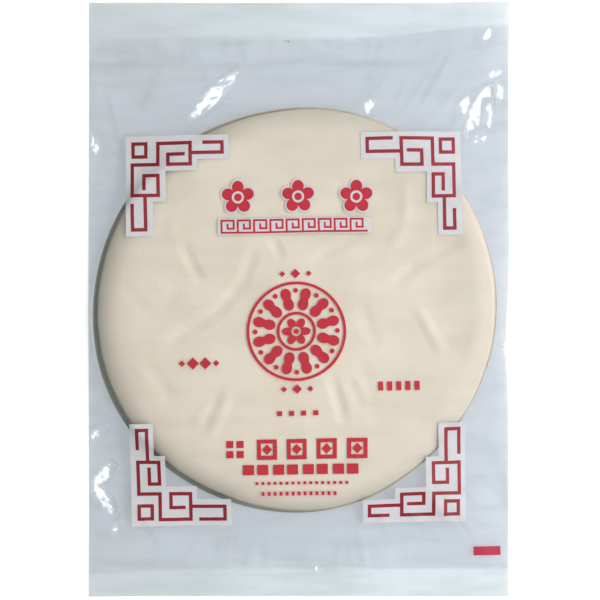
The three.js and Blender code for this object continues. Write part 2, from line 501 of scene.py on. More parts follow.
# each facet is a group of splinters: from, to, half width, in mm
FACETS = [
    [((-53.3, 90.6), (-30.4, 113.5), 2.9)],
    [((84.0, 81.6), (95.6, 108.2), 4.0), ((81.6, 92.4), (84.6, 101.0), 2.2)],
    [((95.6, 86.0), (95.0, 97.0), 1.0)],
    [((93.8, 110.4), (101.2, 114.4), 1.0)],
    [((99.9, 107.8), (101.3, 100.4), 1.3)],
    [((88.6, 81.4), (88.9, 77.8), 0.9), ((91.7, 82.6), (92.4, 79.0), 0.8)],
    [((93.0, 130.4), (95.8, 134.8), 1.3)],
    [((33.8, 97.6), (34.8, 93.4), 1.1), ((35.1, 98.6), (37.3, 95.6), 0.8)],
    [((-103.8, 83.6), (-100.0, 70.2), 1.1)],
    [((-93.8, -83.0), (-102.4, -93.4), 1.9), ((-102.8, -91.6), (-92.6, -107.8), 1.9)],
    [((-103.6, -69.0), (-99.0, -65.4), 1.2)],
    [((-91.4, -114.0), (-92.6, -116.4), 0.7)],
    [((9.0, -134.2), (10.4, -135.4), 0.8)],
    [((103.4, -22.0), (103.6, -28.0), 0.7)],
]


def splinter_gap(points, start, end, half_width):
    """How far each point lies outside a splinter, which is widest in its middle; inside is negative."""
    start, end = np.array(start, float), np.array(end, float)
    run = end - start
    length = np.hypot(*run)
    arm = points[:, :2] - start
    along = arm @ run / length
    beside = np.abs(arm @ np.array([-run[1], run[0]])) / length
    off_centre = np.clip(np.abs(2 * along / length - 1), 0, 1)
    width = half_width * (1 - off_centre**2)
    past_end = np.maximum(-along, along - length)
    return np.maximum(beside - width, past_end)


def facet_gap(points, facet):
    return np.min([splinter_gap(points, *splinter) for splinter in facet], axis=0)


centres = np.array([face.center for face in film.data.polygons]) / MM
upward = np.array([face.normal.z for face in film.data.polygons]) > LEAST_UPWARD
near = np.min([facet_gap(centres, facet) for facet in FACETS], axis=0) < FACET_BLEND
only(film)
bpy.ops.object.mode_set(mode="EDIT")
bpy.ops.mesh.select_mode(type="FACE")
bpy.ops.mesh.select_all(action="DESELECT")
bpy.ops.object.mode_set(mode="OBJECT")
for face, chosen in zip(film.data.polygons, near & upward):
    face.select = bool(chosen)
bpy.ops.object.mode_set(mode="EDIT")
bpy.ops.mesh.subdivide(number_cuts=FACET_CUTS)
bpy.ops.mesh.select_mode(type="VERT")
bpy.ops.object.mode_set(mode="OBJECT")
say(film)

# %% [markdown]
# Now each facet takes its tilt, and blends into the film round it. The attribute "drawn_tight" marks
# the splinters, because only film that is drawn tight shines like a mirror: slack film is fluted too
# finely to see and spreads the lamp's light out. Narrow slits across the larger splinters stay dull.

# %% Tilting them
LEAST_ROOM = 0.2
FACET_RIM = 1.2
FACET_MIDDLE = 2.0
FACET_AT_CUT = 1.2

# dark slits between splinters: from, to, half width, in mm
SLITS = [
    ((-45.0, 105.6), (-33.0, 109.6), 1.0),
    ((-38.6, 101.2), (-35.2, 107.4), 0.9),
    ((89.8, 83.0), (93.2, 98.0), 1.0),
    ((84.6, 96.0), (91.0, 104.6), 0.9),
]

skin = points_of(film)
upper_share = on_upper_film(normals_of(film))
held = smoothstep(inside_cut(skin), 0, FACET_AT_CUT)
lowest = np.nan_to_num(heights(form_tree, skin, downwards=False)) + LEAST_ROOM
drawn_tight = np.zeros(len(skin))
for facet in FACETS:
    centre = np.mean([(np.array(start) + np.array(end)) / 2 for start, end, _ in facet], axis=0)
    off = skin[:, :2] - centre
    gap = facet_gap(skin, facet)
    mask = upper_share * (1 - smoothstep(gap, FACET_RIM, FACET_BLEND)) * held
    middle = (upper_share > 0.5) & (np.hypot(off[:, 0], off[:, 1]) < FACET_MIDDLE)
    plane = skin[middle, 2].mean() + off @ mirror_slope(centre)
    skin[:, 2] += mask * (np.maximum(plane, lowest) - skin[:, 2])
    drawn_tight = np.maximum(drawn_tight, upper_share * smoothstep(-gap, -FACET_RIM, FACET_RIM))
for slit in SLITS:
    drawn_tight[splinter_gap(skin, *slit) < 0] = 0
skin[:, 2] = np.maximum(skin[:, 2], 0)
set_points(film, skin)
store(film, "drawn_tight", drawn_tight)
say(film)

# %% [markdown]
# The film's tint is drawn darker along the line of each fold: painted shade for the folds. The
# attribute "creased" marks these lines for the material.

# %% Painted shade along the folds' lines
CREASE_WIDTH = 1.7
FULL_CREASE = 0.5
FINE_CREASE = 0.45
CREASE_FROM_TO = (-2.0, 4.0)

creased = np.zeros(len(skin))
for folds, strength in ((SEEN_FOLDS, 1.0), (fine_folds, FINE_CREASE)):
    for start, end, _, height in folds:
        line = roof(skin, start, end, CREASE_WIDTH, strength * min(1.0, abs(height) / FULL_CREASE))
        creased = np.maximum(creased, line)
creased *= smoothstep(beyond_stack(skin), *CREASE_FROM_TO)
store(film, "creased", creased)
print("creased points:", int((creased > LEAST_SLACK).sum()))

# %% [markdown]
# ## Colours and nodes
# Colours are read off as sRGB hex values, and the shaders want linear ones, so one function turns
# them. A second small function adds a node with its settings and its links in one line, which
# keeps each material short enough to read as a recipe.

# %% Colours and nodes
def colour(hex_value):
    parts = [int(hex_value[place:place + 2], 16) / 255 for place in (1, 3, 5)]
    linear = [c / 12.92 if c <= 0.04045 else ((c + 0.055) / 1.055) ** 2.4 for c in parts]
    return (*linear, 1.0)


def new_material(name):
    made = bpy.data.materials.new(name)
    made.use_nodes = True
    made.node_tree.nodes.clear()
    return made, made.node_tree


def add(tree, kind, inputs=None, **settings):
    """Adds a node. An input, by name or number, gets a value or is linked to another's output."""
    made = tree.nodes.new("ShaderNode" + kind)
    for name, value in settings.items():
        setattr(made, name, value)
    for name, value in (inputs or {}).items():
        if isinstance(value, bpy.types.NodeSocket):
            tree.links.new(value, made.inputs[name])
        else:
            made.inputs[name].default_value = value
    return made


def finish_with(tree, shader):
    add(tree, "OutputMaterial", {"Surface": shader.outputs[0]})


def per_metre(size_mm):
    """The texture scale that makes one feature about that many millimetres wide."""
    return 1 / (size_mm * MM)


# %% [markdown]
# ## Clear laminated film
# The bag is nylon laminated to polythene, blown and calendered: clear, a little blue-grey, with a
# hard gloss. Light goes straight through, and each wall takes about a quarter of it, a little more
# in streaks that run across the bag. Its tint is painted lighter towards the right, as painted light
# from that side, and darker along its creases, as painted shade. A solid glass shader would bend the
# light as a block of glass does, so the wall is a tinted Transparent under a Glossy coat, with a
# trace of milky haze. The mirror's share rises towards grazing angles by the fifth power of Layer
# Weight's facing: a Fresnel node would go black on the back of the film, as inside a block.

# %% Film materials
# left and right: the lighter right one is painted light from the right
FILM_TINTS_LIT_RIGHT = ("#dfe2e5", "#e4e7eb")
WELD_TINTS_LIT_RIGHT = ("#e1e4e6", "#ebeff1")
# the darker tint of the film's streaks, and of the painted shade along its folds
STREAK_AND_CREASE_SHADE_TINT = "#c2cbc6"
MILK = "#e9eef2"
STREAKS = 0.15
# how much the fold lines darken the tint: painted shade
CREASES = 0.17
STREAK_SIZE = 7.0
STREAK_STRETCH = 5.0
FILM_HAZE = 0.01
WELD_HAZE = 0.03
FILM_MIRROR = 0.016
# how rough the film is where it is drawn tight, slack and welded
FILM_GLOSS = 0.07
SLACK_GLOSS = 0.42
WELD_GLOSS = 0.45
DIMPLE_SIZE = 9.0
CRIMP_PITCH = 7.54
# bands that the Wave node lays in one unit of its scale
WAVE_BANDS = 20 / (2 * math.pi)
RAGGED = 7.0
RAGGED_SIZE = 2.2
RAGGED_NEAR = 4.0
SCHLICK_POWER = 5.0


def clear_film(name, tints_lit_right, haze, slack_gloss, crimped=False):
    """Film: bump, tint, haze, and a coat that is sharp only on the ragged facets."""
    made, tree = new_material(name)
    place = add(tree, "TexCoord").outputs["Object"]
    dimple = add(tree, "TexNoise", {"Vector": place, "Scale": per_metre(DIMPLE_SIZE), "Detail": 3.0})
    bump = add(tree, "Bump", {"Height": dimple.outputs["Fac"], "Strength": 0.25, "Distance": 0.4 * MM})
    if crimped:
        crimp = add(tree, "TexWave", {"Vector": place, "Scale": per_metre(CRIMP_PITCH) / WAVE_BANDS},
                    bands_direction="Y")
        bump = add(tree, "Bump", {"Height": crimp.outputs["Fac"], "Strength": 0.3,
                                  "Distance": 0.08 * MM, "Normal": bump.outputs[0]})
    # the tint runs lighter from left to right: painted light from the right
    across = add(tree, "SeparateXYZ", {0: place})
    painted_light_across = add(tree, "MapRange", {"Value": across.outputs["X"], "From Min": -HALF_WIDTH * MM,
                                     "From Max": HALF_WIDTH * MM})
    tint = add(tree, "Mix", {0: painted_light_across.outputs[0], 6: colour(tints_lit_right[0]), 7: colour(tints_lit_right[1])},
               data_type="RGBA")
    drawn_out = add(tree, "Mapping", {"Vector": place, "Scale": (1 / STREAK_STRETCH, 1.0, 1.0)})
    streak = add(tree, "TexNoise", {"Vector": drawn_out.outputs[0], "Scale": per_metre(STREAK_SIZE),
                                    "Detail": 4.0})
    streaky = add(tree, "MapRange", {"Value": streak.outputs["Fac"], "From Min": 0.42,
                                     "From Max": 0.72, "To Max": STREAKS})
    # fold lines darken the tint as painted shade; the streaks are the film's own uneven tone
    line = add(tree, "Attribute", attribute_name="creased").outputs["Fac"]
    streaks_and_crease_shade = add(tree, "Math", {0: line, 1: CREASES, 2: streaky.outputs[0]}, operation="MULTIPLY_ADD")
    tint = add(tree, "Mix", {0: streaks_and_crease_shade.outputs[0], 6: tint.outputs[2], 7: colour(STREAK_AND_CREASE_SHADE_TINT)},
               data_type="RGBA")
    through = add(tree, "BsdfTransparent", {"Color": tint.outputs[2]})
    milk = add(tree, "BsdfDiffuse", {"Color": colour(MILK), "Normal": bump.outputs[0]})
    wall = add(tree, "MixShader", {0: haze, 1: through.outputs[0], 2: milk.outputs[0]})
    tight = add(tree, "Attribute", attribute_name="drawn_tight").outputs["Fac"]
    ragged = add(tree, "TexNoise", {"Vector": place, "Scale": per_metre(RAGGED_SIZE), "Detail": 3.0})
    jitter = add(tree, "Math", {0: ragged.outputs["Fac"], 1: RAGGED, 2: -RAGGED / 2},
                 operation="MULTIPLY_ADD")
    nearby = add(tree, "Math", {0: tight, 1: RAGGED_NEAR}, operation="MULTIPLY", use_clamp=True)
    torn = add(tree, "Math", {0: jitter.outputs[0], 1: nearby.outputs[0], 2: tight},
               operation="MULTIPLY_ADD")
    gloss = add(tree, "MapRange", {"Value": torn.outputs[0], "From Min": 0.4, "From Max": 0.5,
                                   "To Min": slack_gloss, "To Max": FILM_GLOSS})
    shine = add(tree, "BsdfAnisotropic", {"Roughness": gloss.outputs[0], "Normal": bump.outputs[0]})
    facing = add(tree, "LayerWeight", {"Blend": 0.5, "Normal": bump.outputs[0]})
    grazing = add(tree, "Math", {0: facing.outputs["Facing"], 1: SCHLICK_POWER}, operation="POWER")
    mirror = add(tree, "MapRange", {"Value": grazing.outputs[0], "To Min": FILM_MIRROR})
    coat = add(tree, "MixShader", {0: mirror.outputs[0], 1: wall.outputs[0], 2: shine.outputs[0]})
    finish_with(tree, coat)
    return made


# blown and calendered film is glass-clear with a hard gloss
film.data.materials.append(
    clear_film("laminated nylon film, blown and calendered", FILM_TINTS_LIT_RIGHT, FILM_HAZE, SLACK_GLOSS)
)
# the weld's hot bars press the two films into one and leave it paler and duller
film.data.materials.append(
    clear_film("laminated nylon film, heat-welded", WELD_TINTS_LIT_RIGHT, WELD_HAZE, WELD_GLOSS, crimped=True)
)

centres = np.array([face.center for face in film.data.polygons]) / MM
for face, inside in zip(film.data.polygons, inside_weld(centres) > 0):
    face.material_index = int(inside)
only(film)
bpy.ops.object.shade_smooth()
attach(film, "root")
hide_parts("sealed_bag")
print("weld faces:", sum(face.material_index for face in film.data.polygons))

# %% [markdown]
# ## The wrappers
# Each wrapper is a round of cooked dough, thin as card, made on a hot plate, so no two are quite
# alike: the outlines wander and the rounds are a little off one another. The film pulls the upper
# ones down over the stack's rim, so the rim is a rolled shoulder with the sheets' edges below it.
# The stack has slumped to the right, so on the left the upper wrappers stand back from the lower
# ones. All of them hang from one surface, the top of the dough, which lies a hair under the film and
# has the soft creases that sheets get when a soft stack is handled.

# %% The top of the dough
STACK_TOP = 15.4
ROLL_WIDTH = 10.0
ROLL_MORE = 9.0
ROLL_DEPTH = 4.5
ROLL_DEEPER = 3.0
LEAN = 3.5
LEAN_BEARING = math.radians(20)
TOP_GAP = 0.3
CREASE_ROUNDING = 1.1
CREASE_FROM_RIM = (3.0, 12.0)
HIGHEST_RIDGE = -0.8
DEEPEST_CREASE = 1.4
UNEVEN = 0.6
UNEVEN_SIZE = 20.0

# from, to, half width, depth, in mm; a negative depth is a ridge
SEEN_CREASES = [
    ((-66, -22), (-40, -6), 3.6, 0.93),
    ((-42, -8), (-28, 8), 3.4, 0.93),
    ((-29, 6), (-21.5, 25), 3.2, 0.77),
    ((-58.5, 28), (-48, 8), 2.8, 0.84),
    ((-14, 31), (-8, 20), 2.6, 0.68),
    ((8, 20), (32, 33), 3.4, 0.57),
    ((53, 58), (53, 36), 2.8, -0.6),
    ((53, 36), (45, 27), 3.0, -0.68),
    ((47, 7), (61, 19), 3.4, 0.84),
    ((61, 19), (82, 31), 3.6, 1.01),
    ((59, -4), (71.5, -26.5), 2.8, -0.93),
    ((16, -38), (23, -62), 3.0, 0.93),
    ((25, -40), (32, -55), 3.0, 0.68),
    ((-34.5, -45), (-44, -68), 3.2, -0.93),
    ((-44, -50), (-52, -63), 3.0, -0.57),
    ((30, 0), (38, -24), 4.0, 0.57),
    ((-76, -30), (-62, -52), 4.0, 0.51),
]
SLIGHT = {"count": 46, "reach": 80.0, "length": (14, 34), "half_width": (2.2, 4.6),
          "depth": (-0.3, 0.36)}
CREASE_SEED = 23

rng = np.random.default_rng(CREASE_SEED)
slight_creases = []
for _ in range(SLIGHT["count"]):
    near = STACK_CENTRE + rng.uniform(-SLIGHT["reach"], SLIGHT["reach"], 2)
    bearing = rng.uniform(0, math.pi)
    far = near + rng.uniform(*SLIGHT["length"]) * np.array([math.cos(bearing), math.sin(bearing)])
    half_width = rng.uniform(*SLIGHT["half_width"])
    slight_creases.append((near, far, half_width, rng.uniform(*SLIGHT["depth"])))



# %% The surface that they hang from
def bearing_of(points):
    arm = points[:, :2] - STACK_CENTRE
    return np.arctan2(arm[:, 1], arm[:, 0])


def slumped(bearing):
    """How much the stack has slumped on the side of each bearing, from 0 to 1."""
    return np.sqrt((1 - np.cos(bearing - LEAN_BEARING)) / 2)


def lean_at(bearing):
    """How far the upper wrappers stand back from the outline: most of all on the left."""
    return LEAN * slumped(bearing) ** 3


def inside_upper_rim(points):
    return -beyond_stack(points) - lean_at(bearing_of(points))


def rolled_off(points):
    """How far the shoulder drops below the stack's top; it is broadest where the stack leans."""
    leaning = slumped(bearing_of(points))
    reach = np.clip(1 - inside_upper_rim(points) / (ROLL_WIDTH + ROLL_MORE * leaning), 0, 1)
    return (ROLL_DEPTH + ROLL_DEEPER * leaning) * (1 - np.sqrt(1 - reach**2))


def dough_top(points):
    """How high the uppermost wrapper lies at each point."""
    inside_rim = inside_upper_rim(points)
    creases = np.zeros(len(points))
    for start, end, half_width, depth in SEEN_CREASES + slight_creases:
        creases += roof(points, start, end, half_width, depth, CREASE_ROUNDING)
    places = (Vector((x, y, 0)) / UNEVEN_SIZE for x, y in points[:, :2])
    creases += UNEVEN * np.array([noise.noise(place) for place in places])
    creases *= smoothstep(inside_rim, *CREASE_FROM_RIM)
    creased = STACK_TOP - rolled_off(points) - np.clip(creases, HIGHEST_RIDGE, DEEPEST_CREASE)
    return np.minimum(creased, heights(form_tree, points) - TOP_GAP)


print("dough at the middle:", dough_top(np.array([[0.0, 0.0]])).round(2), "mm")

# %% [markdown]
# ### The lower wrappers
# Forty-nine rounds lie under the one that shows. Each could be its own object, but they only show
# as a band of edges, so one is modelled, with rings inset near its rim, and an Array modifier stacks
# the rest. Then every round gets its own outline, and all follow the top of the dough, the upper ones
# fully and the lower ones less and less.

# %% The lower wrappers
SHEETS = 49
PITCH = 0.306
SHEET_THICKNESS = 0.2
SHEET_STEPS = 128
SHEET_RINGS = (0.7, 1.0, 1.5, 2.3, 3.5)
STACK_FOOT = 0.35

bpy.ops.object.select_all(action="DESELECT")
bpy.ops.mesh.primitive_circle_add(
    vertices=SHEET_STEPS, radius=STACK_RADIUS * MM, fill_type="NGON"
)
stack = bpy.context.object
stack.name = "lower_wrappers"
bpy.ops.object.mode_set(mode="EDIT")
bpy.ops.mesh.select_all(action="SELECT")
for ring_width in SHEET_RINGS:
    bpy.ops.mesh.inset(thickness=ring_width * MM)
bpy.ops.mesh.select_all(action="SELECT")
bpy.ops.mesh.extrude_region_move(
    TRANSFORM_OT_translate={"value": (0, 0, SHEET_THICKNESS * MM)}
)
bpy.ops.mesh.select_all(action="SELECT")
bpy.ops.mesh.normals_make_consistent(inside=False)
bpy.ops.object.mode_set(mode="OBJECT")
sheet_points = len(stack.data.vertices)
rows = stack.modifiers.new("stacking", "ARRAY")
rows.count = SHEETS
rows.use_relative_offset = False
rows.use_constant_offset = True
rows.constant_offset_displace = (0, 0, PITCH * MM)
apply_modifiers(stack)
print("one wrapper:", sheet_points, "points;", SHEETS, "of them:", triangles(stack), "triangles")

# %% How each one lies
DROOP = 0.9
LEDGE_LOW = 6.0
LEDGE_HIGH = 9.0
FOOT_INSET = 4.2
FOOT_HEIGHT = 7.0
FOOT_POWER = 1.3
DRAWN_IN = 0.5
ODD_ONES = 8
ODD_ONE_INSET = 0.8
LOBES = (1, 2, 3, 5, 8)
LOBE_SIZE = 0.12
SHEET_SEED = 11
TOP_THICKNESS = 0.22
SHEET_GAP = 0.12
LEAST_PITCH = 0.02
CREASE_ROOM = 1.7
ROOM_FROM_RIM = (2.0, 6.0)
# how many waves round the rim, how high in mm, how far turned
SWELLS = ((3, 0.16, 0.7), (7, 0.12, 2.1), (17, 0.06, 0.0))
SWELL_REACH = 10.0
# where the lower sheets' edges get painted shade as they stand out from under the upper rim
PAINTED_SHADE_EDGE = 0.6
PAINTED_SHADE_LEAN = (0.7, 2.0)
TINY = 1e-6


def droop_at(height):
    """The share of the shoulder's drop that a sheet at some height follows."""
    return DROOP * np.clip(height / STACK_TOP, 0, 1) ** 2


def edge_inset(height, bearing):
    """How far inside the outline a sheet ends: the upper ones lean back, the foot is drawn in."""
    upper = smoothstep(height, LEDGE_LOW, LEDGE_HIGH)
    foot = FOOT_INSET * np.clip(1 - height / FOOT_HEIGHT, 0, 1) ** FOOT_POWER
    return upper * lean_at(bearing) + foot


def waves_round(bearing, waves):
    return sum(high * np.cos(count * bearing + turn) for count, high, turn in waves)


places = points_of(stack)
sheet = np.arange(len(places)) // sheet_points
reach = np.hypot(places[:, 0], places[:, 1])
bearing = np.arctan2(places[:, 1], places[:, 0])
height = STACK_FOOT + places[:, 2]
rng = np.random.default_rng(SHEET_SEED)
drawn_in = rng.uniform(0.0, DRAWN_IN, SHEETS)
for odd_one in rng.choice(SHEETS, ODD_ONES, replace=False):
    drawn_in[odd_one] += ODD_ONE_INSET
outline = stack_radius(bearing) - edge_inset(STACK_FOOT + PITCH * sheet, bearing) - drawn_in[sheet]
for lobes in LOBES:
    size = rng.normal(0, LOBE_SIZE / lobes**0.5, SHEETS)
    turn = rng.uniform(0, 2 * math.pi, SHEETS)
    outline -= np.abs(size[sheet]) * (1 + np.cos(lobes * bearing + turn[sheet]))
new_reach = np.where(reach > TINY, outline - (STACK_RADIUS - reach), 0)
places[:, 0] = STACK_CENTRE[0] + np.cos(bearing) * new_reach
places[:, 1] = STACK_CENTRE[1] + np.sin(bearing) * new_reach
from_rim = np.clip(-beyond_stack(places), 0, None)
swell = waves_round(bearing, SWELLS) * np.exp(-from_rim / SWELL_REACH)
places[:, 2] = height - droop_at(height) * rolled_off(places)
places[:, 2] += swell * np.clip(height / FOOT_HEIGHT, 0, 1)
ceiling = dough_top(places) - TOP_THICKNESS - SHEET_GAP
ceiling -= CREASE_ROOM * smoothstep(inside_upper_rim(places), *ROOM_FROM_RIM)
ground = heights(form_tree, places, downwards=False) + SHEET_GAP
places[:, 2] = np.maximum(places[:, 2], ground + LEAST_PITCH * sheet)
places[:, 2] = np.minimum(places[:, 2], ceiling - LEAST_PITCH * (SHEETS - 1 - sheet))
set_points(stack, places)
# edges of lower sheets that stand out on the leaning side get painted shade
standing_out = lean_at(bearing) - from_rim
painted_shade = smoothstep(standing_out, -PAINTED_SHADE_EDGE, PAINTED_SHADE_EDGE) * smoothstep(lean_at(bearing), *PAINTED_SHADE_LEAN)
store(stack, "painted_shade", painted_shade)
say(stack)

# %% [markdown]
# ### The top wrapper
# The uppermost round is the one that shows. It is drawn finer than the rest: rings inset from the
# rim inwards, close where it rolls over the shoulder, then a Solidify modifier for its thickness.
# Its rim stops short of the stack's outline, most of all on the left, where the edges of the sheets
# below it look out as a dark band, darkened by painted shade. The rims are greyed by painted shade
# too, which an attribute marks: a dark margin where the rim stands back, and a wide faint one on the
# other side.

# %% The top wrapper
TOP_STEPS = 320
TOP_INSET = 0.3
FINE_RINGS = (0.4, 0.5, 0.6, 0.7, 0.8, 0.9) + (1.3,) * 58
INNER_RINGS = (2.0,) * 8
WANDER = ((3, 0.25, 1.0), (7, 0.2, 0.0), (19, 0.1, 0.0))
WANDER_INSET = 0.45

bpy.ops.object.select_all(action="DESELECT")
bpy.ops.mesh.primitive_circle_add(
    vertices=TOP_STEPS, radius=STACK_RADIUS * MM, fill_type="NGON"
)
top_wrapper = bpy.context.object
top_wrapper.name = "top_wrapper"
bpy.ops.object.mode_set(mode="EDIT")
bpy.ops.mesh.select_all(action="SELECT")
for ring_width in FINE_RINGS + INNER_RINGS:
    bpy.ops.mesh.inset(thickness=ring_width * MM)
bpy.ops.mesh.poke()
bpy.ops.object.mode_set(mode="OBJECT")

places = points_of(top_wrapper)
reach = np.hypot(places[:, 0], places[:, 1])
bearing = np.arctan2(places[:, 1], places[:, 0])
outline = stack_radius(bearing) - TOP_INSET - lean_at(bearing)
outline -= WANDER_INSET + waves_round(bearing, WANDER)
grown = reach * outline / STACK_RADIUS
places[:, 0] = STACK_CENTRE[0] + np.cos(bearing) * grown
places[:, 1] = STACK_CENTRE[1] + np.sin(bearing) * grown
places[:, 2] = dough_top(places)
set_points(top_wrapper, places)
thickness = top_wrapper.modifiers.new("dough thickness", "SOLIDIFY")
thickness.thickness = TOP_THICKNESS * MM
thickness.offset = -1
apply_modifiers(top_wrapper)
say(top_wrapper)

# %% Its margin of painted shade
# how grey the painted shade makes the top wrapper's rim: strong where it stands back, faint and wide on
# the other side
STANDING_SHADE = 0.4
STANDING_FROM_TO = (0.0, 12.0)
LEVEL_SHADE = 0.22
LEVEL_FROM_TO = (4.0, 46.0)

places = points_of(top_wrapper)
inside_rim = inside_upper_rim(places)
leaning = slumped(bearing_of(places))
painted_shade = STANDING_SHADE * leaning * (1 - smoothstep(inside_rim, *STANDING_FROM_TO))
painted_shade += LEVEL_SHADE * (1 - leaning) * (1 - smoothstep(inside_rim, *LEVEL_FROM_TO))
store(top_wrapper, "painted_shade", painted_shade)
print("dried at most:", round(float(painted_shade.max()), 2))

# %% [markdown]
# ### Cooked wheat dough
# The wrappers are wheat dough wiped on a hot plate and steamed dry: cream, matt, a little
# translucent, with a bloom of flour. Principled gives the matt body with a little light scattered
# under the skin. Clouds of paler flour and a fine darker grain tint it, and the small cells that the
# hot plate leaves are relief. The edges of the lower ones are painted a touch darker, as painted
# shade between the sheets, and the rims are greyed by painted shade where the stack recedes.

# %% Dough material
# body, floury clouds, grain
TOP_TINTS = ("#f2dbc4", "#f6e1cb", "#e6cdb0")
EDGE_TINTS_SHADED = ("#e2cfb6", "#eddac2", "#cfbb9d")
# the grey of the painted shade at the rims
PAINTED_SHADE_TONE = "#8f9488"
CLOUD_SIZE = 26.0
CELL_SIZE = 1.7
GRAIN_SIZE = 0.6
SMOOTH_ANGLE = math.radians(40)


def dough(name, base, pale, deep):
    made, tree = new_material(name)
    place = add(tree, "TexCoord").outputs["Object"]
    clouds = add(tree, "TexNoise", {"Vector": place, "Scale": per_metre(CLOUD_SIZE), "Detail": 4.0,
                                    "Roughness": 0.55})
    cells = add(tree, "TexVoronoi", {"Vector": place, "Scale": per_metre(CELL_SIZE)})
    grain = add(tree, "TexNoise", {"Vector": place, "Scale": per_metre(GRAIN_SIZE), "Detail": 2.0})
    paler = add(tree, "MapRange", {"Value": clouds.outputs["Fac"], "From Min": 0.35, "From Max": 0.7})
    body = add(tree, "Mix", {0: paler.outputs[0], 6: colour(base), 7: colour(pale)}, data_type="RGBA")
    darker = add(tree, "MapRange", {"Value": grain.outputs["Fac"], "From Min": 0.5, "From Max": 0.8,
                                    "To Max": 0.5})
    tinted = add(tree, "Mix", {0: darker.outputs[0], 6: body.outputs[2], 7: colour(deep)},
                 data_type="RGBA")
    # rims are mixed towards grey: painted shade where the stack recedes from the light
    painted_shade = add(tree, "Attribute", attribute_name="painted_shade").outputs["Fac"]
    tinted = add(tree, "Mix", {0: painted_shade, 6: tinted.outputs[2], 7: colour(PAINTED_SHADE_TONE)}, data_type="RGBA")
    relief = add(tree, "Bump", {"Height": cells.outputs["Distance"], "Strength": 0.25,
                                "Distance": 0.15 * MM})
    relief = add(tree, "Bump", {"Height": grain.outputs["Fac"], "Strength": 0.3,
                                "Distance": 0.12 * MM, "Normal": relief.outputs[0]})
    skin = add(tree, "BsdfPrincipled", {
        "Base Color": tinted.outputs[2], "Roughness": 0.82, "IOR": 1.4, "Specular IOR Level": 0.3,
        "Subsurface Weight": 0.15, "Subsurface Scale": 1.5 * MM, "Normal": relief.outputs[0],
    })
    finish_with(tree, skin)
    return made


# dough wiped on a hot plate comes off matt, pale and faintly cellular
top_dough = dough("wheat dough, wiped thin on a hot plate", *TOP_TINTS)
# its cut edges are painted deeper in colour: painted shade for the light lost between the sheets
edge_dough = dough("wheat dough, stacked edges", *EDGE_TINTS_SHADED)
for piece, material in ((top_wrapper, top_dough), (stack, edge_dough)):
    piece.data.materials.append(material)
    only(piece)
    bpy.ops.object.shade_smooth_by_angle(angle=SMOOTH_ANGLE)
    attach(piece, "root")
    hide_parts("sealed_bag")
bpy.data.objects.remove(form)
print("dough pieces dressed")

# %% [markdown]
# ## The print
# The print is reversed on the inner face of the upper film: red ink over a patch of thin white.
# It could be a picture laid over the film, but flat shapes stay sharp at any size. Straight
# strokes are cut out of a grid: the strokes keep to its lattice, and every face that lies outside
# them is deleted. The cells are half a millimetre, and half of that for the frets, whose line is
# finer. The corner frets are one traditional key pattern, turned a quarter from corner to corner.

# %% Strokes on a lattice
CELL = 0.5


def lattice(low, high, cell=CELL):
    """A flat grid of square cells from one corner to the other."""
    counts = [round((b - a) / cell) for a, b in zip(low, high)]
    bpy.ops.object.select_all(action="DESELECT")
    bpy.ops.mesh.primitive_grid_add(x_subdivisions=counts[0], y_subdivisions=counts[1], size=1)
    sheet = bpy.context.object
    bpy.ops.object.mode_set(mode="EDIT")
    bpy.ops.transform.resize(value=[(b - a) * MM for a, b in zip(low, high)] + [1])
    bpy.ops.transform.translate(value=[(a + b) / 2 * MM for a, b in zip(low, high)] + [0])
    bpy.ops.object.mode_set(mode="OBJECT")
    return sheet


def on_strokes(centres, strokes, half):
    """Which points lie within half a line's width of square-cornered strokes."""
    inside = np.zeros(len(centres), bool)
    for path in strokes:
        for start, end in zip(path, path[1:]):
            low = np.minimum(start, end) - half
            high = np.maximum(start, end) + half
            inside |= np.all((centres > low) & (centres < high), axis=1)
    return inside


def keep_faces(sheet, kept):
    """Deletes every face that isn't kept."""
    only(sheet)
    bpy.ops.object.mode_set(mode="EDIT")
    bpy.ops.mesh.select_mode(type="FACE")
    bpy.ops.mesh.select_all(action="DESELECT")
    bpy.ops.object.mode_set(mode="OBJECT")
    for face, keep in zip(sheet.data.polygons, kept):
        face.select = not keep
    bpy.ops.object.mode_set(mode="EDIT")
    bpy.ops.mesh.delete(type="FACE")
    bpy.ops.mesh.select_mode(type="VERT")
    bpy.ops.object.mode_set(mode="OBJECT")


def cut_strokes(strokes, line, cell=CELL, shift=0.0):
    """The strokes, cut out of a lattice that just holds them."""
    ends = np.concatenate([np.array(path, float) for path in strokes])
    low = np.floor((ends.min(axis=0) - line) / cell) * cell + shift
    high = np.ceil((ends.max(axis=0) + line) / cell) * cell + shift
    sheet = lattice(low, high, cell)
    centres = np.array([face.center for face in sheet.data.polygons])[:, :2] / MM
    keep_faces(sheet, on_strokes(centres, strokes, line / 2))
    return sheet


# %% One corner fret
FRET_LINE = 1.75
FRET_CELL = 0.25
BACKING_LINE = 7.0
FRET_SQUARE = [[(-3.25, -3.25), (-3.25, 3.25), (3.25, 3.25), (3.25, -3.25), (-3.25, -3.25)]]
FRET_KEYS = [
    [(9.25, -7.25), (9.25, 3.25), (25.25, 3.25), (25.25, -7.25), (14.25, -7.25), (14.25, -2.25),
     (21.75, -2.25)],
    [(25.25, -1.75), (41.25, -1.75), (41.25, 3.25), (32.25, 3.25)],
    [(9.25, -7.25), (-3.75, -7.25), (-3.75, -22.75), (9.25, -22.75), (9.25, -12.75),
     (2.25, -12.75), (2.25, -19.25)],
    [(2.75, -22.75), (2.75, -39.75), (-3.75, -39.75), (-3.75, -27.75)],
]
fret = cut_strokes(FRET_SQUARE + FRET_KEYS, FRET_LINE, FRET_CELL, FRET_CELL / 2)
fret_backing = cut_strokes(FRET_SQUARE + FRET_KEYS, BACKING_LINE)
